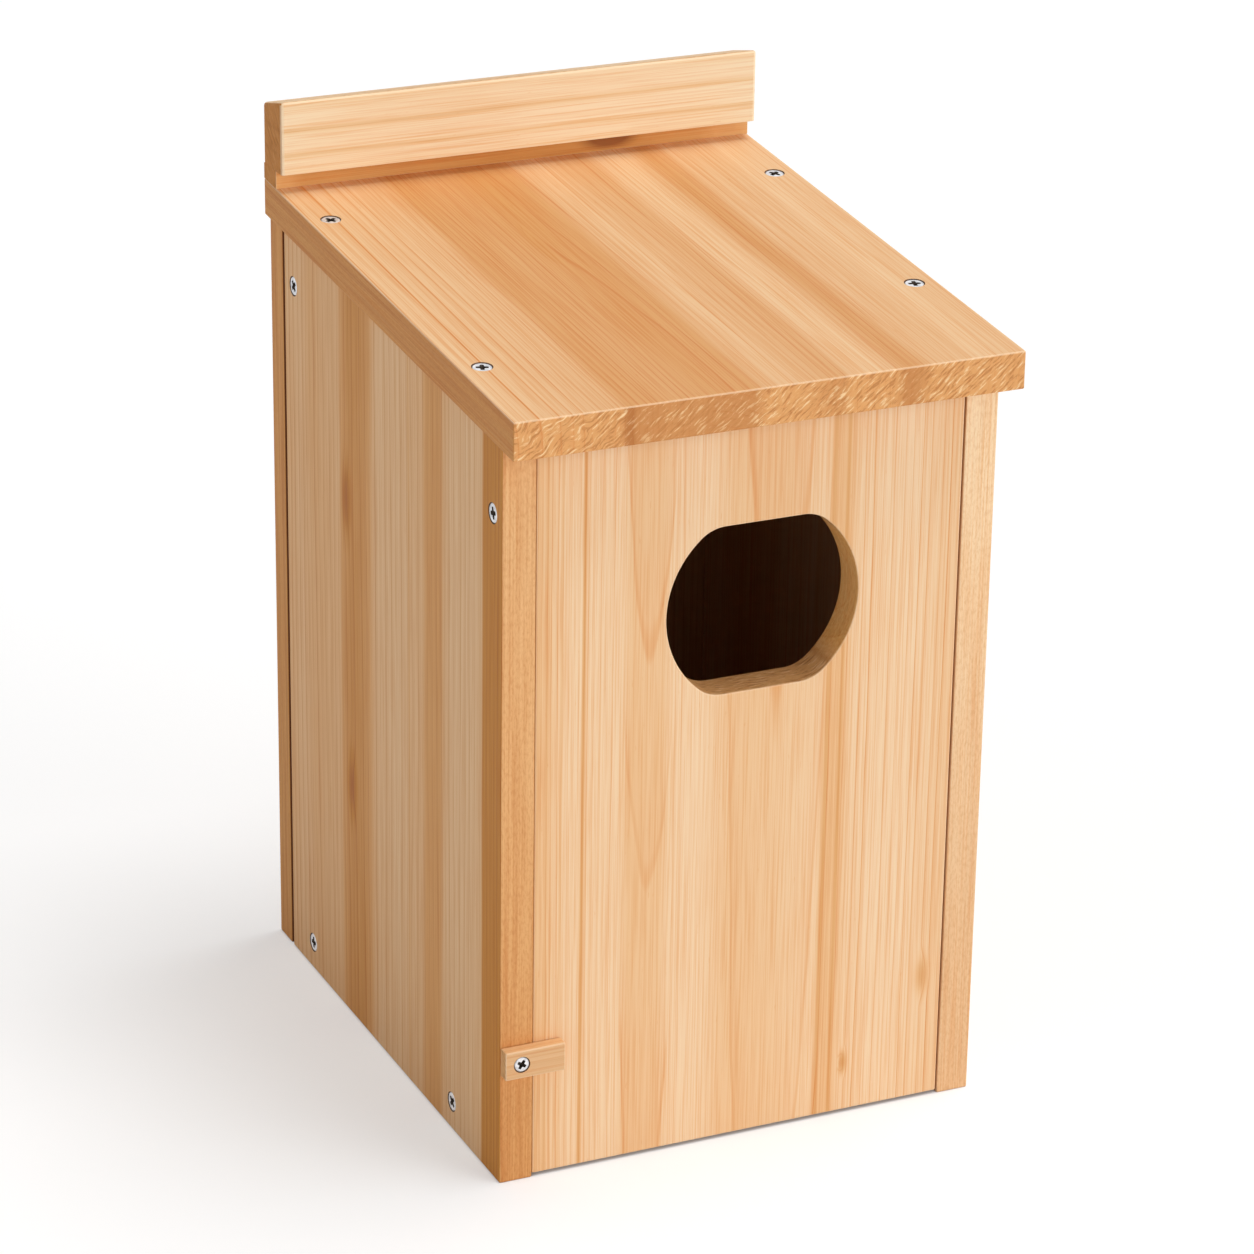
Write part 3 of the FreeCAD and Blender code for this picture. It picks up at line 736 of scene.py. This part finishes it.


# A knot is its place across and along the grain, its half width and half length, and its depth of tone.
# In these boards rim sets how strong the painted highlight on the eased rims is, the share for inner faces
# sets their painted shade, and butt sets how far in from each edge the painted gap shade runs.
BOARDS = [
    board("left_side_panel", "left_side_board", "box", "side_wood", X, Z, Y,
          SIDE_LOOK, SIDE_STAVES, SIDE_BANDS, 11.0,
          knots=[(210, 300, 11, 34, 0.6), (204, 138, 11, 30, 0.6)], hearts=1.0, drift=0.3, clouds=0.4,
          edge=(247, 201, 147), edge_foot=(225, 168, 108), streaks=0.25, mottle=0.35, rough_inside=0.5),
    board("right_side_panel", "right_side_board", "box", "side_wood", -X, Z, Y,
          FRONT_LOOK, RIGHT_STAVES, RIGHT_BANDS, 23.0,
          knots=[(96, 250, 13, 30, 0.4)], drift=0.3, clouds=0.4,
          edge=(254, 226, 186), edge_foot=(234, 190, 142), streaks=0.12, mottle=0.3, rough_inside=0.5),
    board("front_panel", "front_door", "door", "front_wood", Y, Z, X,
          FRONT_LOOK, FRONT_STAVES, FRONT_BANDS, 37.0,
          knots=[(221, 72, 6, 18, 0.75), (176, 30, 3.5, 11, 1.1)], hearts=0.15, clouds=0.3, wander=8.0,
          ripple=2.0, edge=(255, 199, 120), streaks=0.2, mottle=0.3, rim=0.2, slant=0.0, rough_inside=0.4),
    board("back_panel", "back_board", "box", "back_wood", -Y, Z, X,
          SIDE_LOOK, BACK_STAVES, BACK_BANDS, 53.0,
          drift=0.3, clouds=0.4, edge=(220, 159, 86), edge_foot=(208, 147, 70), streaks=0.5, mottle=0.2,
          butt=18.0, rough_inside=0.5),
    board("floor_panel", "floor_board", "box", "inner_wood", -Z, X, Y,
          FRONT_LOOK, FRONT_STAVES, FRONT_BANDS, 61.0, rough_inside=0.7),
    board("roof_panel", "roof_board", "box", "roof_wood", -ROOF_NORMAL, ROOF_ALONG, X,
          ROOF_LOOK, ROOF_STAVES, ROOF_BANDS, 71.0,
          knots=[(101, 65, 4, 34, 0.5)], drift=0.5, clouds=0.45, edge=(210, 143, 58), streaks=0.4,
          mottle=0.25, rim=0.35, slant=-0.7, burr=50.0, seam=61.0, rough_inside=0.5),
    board("rail_riser", "rail_riser_strip", "box", "riser_wood", Y, X, Z,
          RISER_LOOK, RAIL_STAVES, RISER_BANDS, 83.0,
          knots=[(5, 15, 40, 120, 0.4), (8, 55, 9, 22, 1.2), (5, -134, 30, 12, -0.5), (5, 128, 30, 20, -0.5)],
          rim=0.25, ease=RISER_EASE),
    board("mounting_rail", "mounting_rail_bar", "box", "rail_wood", Y, X, Z,
          RAIL_LOOK, RAIL_STAVES, RAIL_BANDS, 97.0,
          wander=9.0, drift=0.6, rim=0.5, ease=RAIL_EASE, sharp_under=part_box("mounting_rail")[0].z + MM),
    board("rear_top_cleat", "rear_top_cleat_bar", "box", "inner_wood", -Z, X, Y,
          FRONT_LOOK, RAIL_STAVES, RAIL_BANDS, 101.0),
    board("turn_button", "turn_button_block", "button", "button_wood", Y, X, Z,
          BUTTON_LOOK, RAIL_STAVES, BUTTON_BANDS, 113.0,
          edge=(242, 200, 149), streaks=0.0, mottle=0.15, rim=0.3),
]


# Boards

def side_outline(low, high, top):
    """A board seen from the side, from its lower front corner, with its head cut to the roof's slope."""
    return [(low.x, low.y, low.z), (low.x, high.y, low.z),
            (low.x, high.y, top(high.y)), (low.x, low.y, top(low.y))]


ROOF_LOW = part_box("roof_panel")[0]


def under_roof(y):
    return ROOF_LOW.z + (y - ROOF_LOW.y) * math.tan(ROOF_SLOPE)


def over_roof(y):
    return under_roof(y) + ROOF_THICK * MM / math.cos(ROOF_SLOPE)


def add_board(bm, node, low, high):
    sweep = X * (high.x - low.x)
    if node in SIDE_SHY:
        add_prism(bm, side_outline(low, high - Y * SIDE_SHY[node] * MM, under_roof), sweep)
    elif node == "back_panel":
        add_prism(bm, side_outline(low, high, under_roof), sweep)
    elif node == "roof_panel":
        outline = [(low.x, low.y, under_roof(low.y)), (low.x, high.y, under_roof(high.y)),
                   (low.x, high.y, over_roof(high.y)), (low.x, low.y, over_roof(low.y))]
        add_prism(bm, outline, sweep)
    elif node == "rail_riser":
        outline = [(low.x, low.y, over_roof(low.y)), (low.x, high.y, over_roof(high.y)),
                   (low.x, high.y, high.z), (low.x, low.y, high.z)]
        add_prism(bm, outline, sweep)
    elif node == "mounting_rail":
        outline = [(low.x, low.y, low.z), (low.x, high.y, low.z),
                   (low.x, high.y, high.z - RAIL_TOP_FALL * MM), (low.x, low.y, high.z)]
        add_prism(bm, outline, sweep)
    else:
        add_box(bm, low, high)


ENTRY_STEPS = 14
ENTRY_CORNER_STEPS = 8


def entry_outline():
    """The entrance about its middle: a circle with flats above and below, and rounded where they meet."""
    radius = ENTRY_WIDTH / 2
    flat = ENTRY_HEIGHT / 2
    rise = flat - ENTRY_CORNER
    run = math.sqrt((radius - ENTRY_CORNER) ** 2 - rise ** 2)
    meet = math.atan2(rise, run)
    quarter = []
    for i in range(ENTRY_STEPS):
        angle = meet * i / ENTRY_STEPS
        quarter.append((radius * math.cos(angle), radius * math.sin(angle)))
    for i in range(ENTRY_CORNER_STEPS + 1):
        angle = meet + (math.pi / 2 - meet) * i / ENTRY_CORNER_STEPS
        quarter.append((run + ENTRY_CORNER * math.cos(angle), rise + ENTRY_CORNER * math.sin(angle)))
    upper = quarter + [(-x, z) for x, z in quarter[:0:-1]]
    return upper + [(-x, -z) for x, z in upper]


def add_door(bm, low, high):
    """The door: each face is two halves that meet beside the entrance."""
    mid_x, mid_z = (c * MM for c in ENTRY_PLACE)
    hole = [(mid_x + x * MM, mid_z + z * MM) for x, z in entry_outline()]
    half = len(hole) // 2
    rim = [(high.x, mid_z), (high.x, high.z), (low.x, high.z),
           (low.x, mid_z), (low.x, low.z), (high.x, low.z)]
    faces = {}
    for y in (low.y, high.y):
        inner = [bm.verts.new((x, y, z)) for x, z in hole]
        outer = [bm.verts.new((x, y, z)) for x, z in rim]
        bm.faces.new(outer[:4] + inner[half::-1])
        bm.faces.new(outer[3:] + outer[:1] + inner[:1] + inner[:half - 1:-1])
        faces[y] = (inner, outer)
    for near, far in zip(faces[low.y], faces[high.y]):
        for i in range(len(near)):
            j = (i + 1) % len(near)
            bm.faces.new((near[i], near[j], far[j], far[i]))


def add_kerfs(bm, rear):
    """Shallow footholds across the door's inner face, under the entrance."""
    first = ENTRY_PLACE[1] - ENTRY_HEIGHT / 2 - KERF_PITCH
    half = KERF_WIDTH / 2 * MM
    mid = ENTRY_PLACE[0] * MM
    reach = KERF_LENGTH / 2 * MM
    for i in range(KERF_COUNT):
        z = (first - i * KERF_PITCH) * MM
        add_box(bm, Vector((mid - reach, rear - KERF_DEPTH * MM, z - half)),
                Vector((mid + reach, rear + MM, z + half)))


def add_drains(bm, low, high):
    inset = Vector((DRAIN_SIDE_INSET, DRAIN_END_INSET, 0)) * MM
    for x in (low.x + inset.x, high.x - inset.x):
        for y in (low.y + inset.y, high.y - inset.y):
            place = Matrix.Translation((x, y, low.z)) @ Matrix.Scale(MM, 4)
            top = (high.z - low.z) / MM + CUT_PAST
            add_lathe(bm, [(DRAIN_DIAMETER / 2, -CUT_PAST), (DRAIN_DIAMETER / 2, top)], place)


# Countersink walls in dark brown: painted shade in the narrow gap round each screw head.
def painted_bore_shade():
    material, s = new_shader("painted_bore_shade")
    point = s.add("ShaderNodeTexCoord").outputs["Object"]
    grain = s.noise(point, 3.0, scale=900)
    tint = s.mix(s.between(grain, 0.35, 0.65), colour(58, 36, 20), colour(104, 70, 42))
    rough = s.between(grain, 0.3, 0.7, 0.7, 0.85, False)
    surface = s.add("ShaderNodeBsdfPrincipled", {"Base Color": tint, "Metallic": 0.0, "Roughness": rough})
    s.add("ShaderNodeOutputMaterial", {0: surface.outputs[0]})
    return material


BORE_SHADE = painted_bore_shade()
SMOOTH_UNDER = math.radians(18)

for spec in BOARDS:
    low = spec["low"]
    high = spec["high"]
    bm = bmesh.new()
    if spec["node"] == "front_panel":
        add_door(bm, low - X * DOOR_SNUG * MM, high)
    else:
        add_board(bm, spec["node"], low, high)
    bmesh.ops.recalc_face_normals(bm, faces=bm.faces)
    ease_edges(bm, spec.get("ease", BOARD_EASE), spec.get("sharp_under", -MM))
    piece = new_object(spec["piece"], bm)
    cutter = bmesh.new()
    if spec["node"] == "front_panel":
        add_kerfs(cutter, high.y)
    if spec["node"] == "floor_panel":
        add_drains(cutter, low, high)
    if cutter.verts:
        carve(piece, cutter)
    else:
        cutter.free()
    met = bore_screws(piece, low, high)
    piece.data.polygons.foreach_set("use_smooth", [True] * len(piece.data.polygons))
    piece.data.set_sharp_from_angle(angle=SMOOTH_UNDER)
    piece.data.materials.clear()
    piece.data.materials.append(wood(f"{spec['piece']}_wood", spec))
    # The second material paints shade on the walls of the screw holes.
    piece.data.materials.append(BORE_SHADE)
    darken_bores(piece, met, 1)
    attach(piece, spec["body"])
    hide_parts(spec["node"])


# Zinc screws

def zinc():
    material, s = new_shader("bright_zinc")
    point = s.add("ShaderNodeTexCoord").outputs["Object"]
    grain = s.noise(point, 3.0, 0.6, scale=2600)
    patch = s.noise(point, 2.0, scale=420)
    tint = s.mix(s.between(patch, 0.35, 0.7), colour(228, 228, 230), colour(190, 192, 196))
    tint = s.mix(s.between(grain, 0.62, 0.8, 0.0, 0.5), tint, colour(130, 126, 120))
    rough = s.plus(s.between(grain, 0.3, 0.7, 0.4, 0.5, False), s.between(patch, 0.3, 0.7, 0.0, 0.08, False))
    bump = s.add("ShaderNodeBump", {"Strength": 0.3, "Distance": 0.00005, "Height": grain})
    surface = s.add("ShaderNodeBsdfPrincipled", {"Base Color": tint, "Metallic": 1.0, "Roughness": rough,
                                                 "Normal": bump.outputs[0]})
    s.add("ShaderNodeOutputMaterial", {0: surface.outputs[0]})
    return material


# The screws' cross recesses: dark grime, with painted shade on top of it.
def recess_grime_and_shade():
    material, s = new_shader("recess_grime_and_shade")
    point = s.add("ShaderNodeTexCoord").outputs["Object"]
    grain = s.noise(point, 3.0, 0.6, scale=1800)
    tint = s.mix(s.between(grain, 0.35, 0.7), colour(34, 26, 20), colour(78, 66, 54))
    rough = s.between(grain, 0.3, 0.7, 0.5, 0.75, False)
    surface = s.add("ShaderNodeBsdfPrincipled", {"Base Color": tint, "Metallic": 0.6, "Roughness": rough})
    s.add("ShaderNodeOutputMaterial", {0: surface.outputs[0]})
    return material


ZINC = zinc()
GRIME_AND_SHADE = recess_grime_and_shade()
FIRST_TURN = 0.3
TURN_STEP = 2.4
SCREW_SMOOTH_UNDER = math.radians(35)

turn = FIRST_TURN
for name in SCREW_NODES:
    bm = bmesh.new()
    for screw in SCREWS[name]:
        add_screw(bm, screw, turn)
        turn += TURN_STEP
    piece = new_object(f"{name}_detail", bm)
    piece.data.set_sharp_from_angle(angle=SCREW_SMOOTH_UNDER)
    piece.data.materials.append(ZINC)
    piece.data.materials.append(GRIME_AND_SHADE)
    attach(piece, frame["nodes"][name]["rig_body"])
    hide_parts(name)


# Studio

FLOOR_HALF = 6.0
FLOOR_ALBEDO = 0.8
FLOOR_SEEN_ALBEDO = 0.64
FLOOR_GLOW = 0.42
CONTACT_REACH = 4
WORLD_LEVEL = 0.32


def seen_rays(s):
    """1 for rays from the camera and for those that metal or glass sends on."""
    rays = s.add("ShaderNodeLightPath")
    seen = rays.outputs["Is Camera Ray"]
    for kind in ("Is Glossy Ray", "Is Transmission Ray"):
        seen = s.math("MAXIMUM", seen, rays.outputs[kind])
    return seen


def studio_floor():
    bm = bmesh.new()
    half = FLOOR_HALF
    corners = ((-half, -half, 0), (half, -half, 0), (half, half, 0), (-half, half, 0))
    bm.faces.new([bm.verts.new(corner) for corner in corners])
    floor = new_object("studio_floor", bm)
    material, s = new_shader("studio_floor")
    bounce = s.add("ShaderNodeBsdfDiffuse", {"Color": (FLOOR_ALBEDO,) * 3 + (1,)})
    shaded = s.add("ShaderNodeBsdfDiffuse", {"Color": (FLOOR_SEEN_ALBEDO,) * 3 + (1,)})
    # The glow for camera rays fades where the object stands close over the floor, as painted contact shade.
    open_share = s.add("ShaderNodeAmbientOcclusion", {"Distance": CONTACT_REACH * MM}).outputs["AO"]
    level = s.between(open_share, 0.1, 0.75, 0.0, FLOOR_GLOW)
    glow = s.add("ShaderNodeEmission", {"Color": (1, 1, 1, 1), "Strength": level})
    white = s.add("ShaderNodeAddShader", {0: shaded.outputs[0], 1: glow.outputs[0]})
    both = s.add("ShaderNodeMixShader", {0: seen_rays(s), 1: bounce.outputs[0], 2: white.outputs[0]})
    s.add("ShaderNodeOutputMaterial", {0: both.outputs[0]})
    floor.data.materials.append(material)


def studio_world():
    world = bpy.data.worlds.new("studio")
    world.use_nodes = True
    bpy.context.scene.world = world
    s = Shader(world.node_tree)
    around = s.add("ShaderNodeBackground", {"Color": (1, 1, 1, 1), "Strength": WORLD_LEVEL})
    white = s.add("ShaderNodeBackground", {"Color": (1, 1, 1, 1), "Strength": 1.0})
    both = s.add("ShaderNodeMixShader", {0: seen_rays(s), 1: around.outputs[0], 2: white.outputs[0]})
    s.add("ShaderNodeOutputWorld", {0: both.outputs[0]})


def lamp(name, towards, strength, spread):
    """A broad far lamp: where it stands, seen from the object, its level and its spread in degrees."""
    data = bpy.data.lights.new(name, "SUN")
    data.energy = strength
    data.angle = math.radians(spread)
    made = bpy.data.objects.new(name, data)
    made.rotation_mode = "QUATERNION"
    made.rotation_quaternion = Vector(towards).to_track_quat("Z", "Y")
    bpy.context.scene.collection.objects.link(made)


studio_floor()
studio_world()
lamp("key", (0.55, -0.80, 0.16), 1.68, 40)
lamp("top", (0.29, -0.08, 0.95), 1.5, 30)
lamp("fill", (-0.75, -0.55, 0.35), 0.5, 90)


# Camera, at the photograph's viewing angle

AZIMUTH = -0.43039
ELEVATION = 0.39427
ROLL = 0.01527
ASIDE = 7.661
RAISED = 208.041
DISTANCE = 2619.4
FRAME_SHIFT = 10.198
LENS = 136.766
SENSOR = 36

flat = math.cos(ELEVATION)
back = Vector((math.sin(AZIMUTH) * flat, -math.cos(AZIMUTH) * flat, math.sin(ELEVATION)))
level = Vector((math.cos(AZIMUTH), math.sin(AZIMUTH), 0))
upright = back.cross(level)
right = level * math.cos(ROLL) + upright * math.sin(ROLL)
up = upright * math.cos(ROLL) - level * math.sin(ROLL)
camera = bpy.data.objects.new("camera", bpy.data.cameras.new("camera"))
camera.data.lens = LENS
camera.data.sensor_width = SENSOR
stand = (right * ASIDE + up * RAISED + back * DISTANCE + Y * FRAME_SHIFT) * MM
camera.matrix_world = Matrix.Translation(stand) @ Matrix((right, up, back)).transposed().to_4x4()
bpy.context.scene.collection.objects.link(camera)
bpy.context.scene.camera = camera
bpy.context.scene.view_settings.view_transform = "Standard"
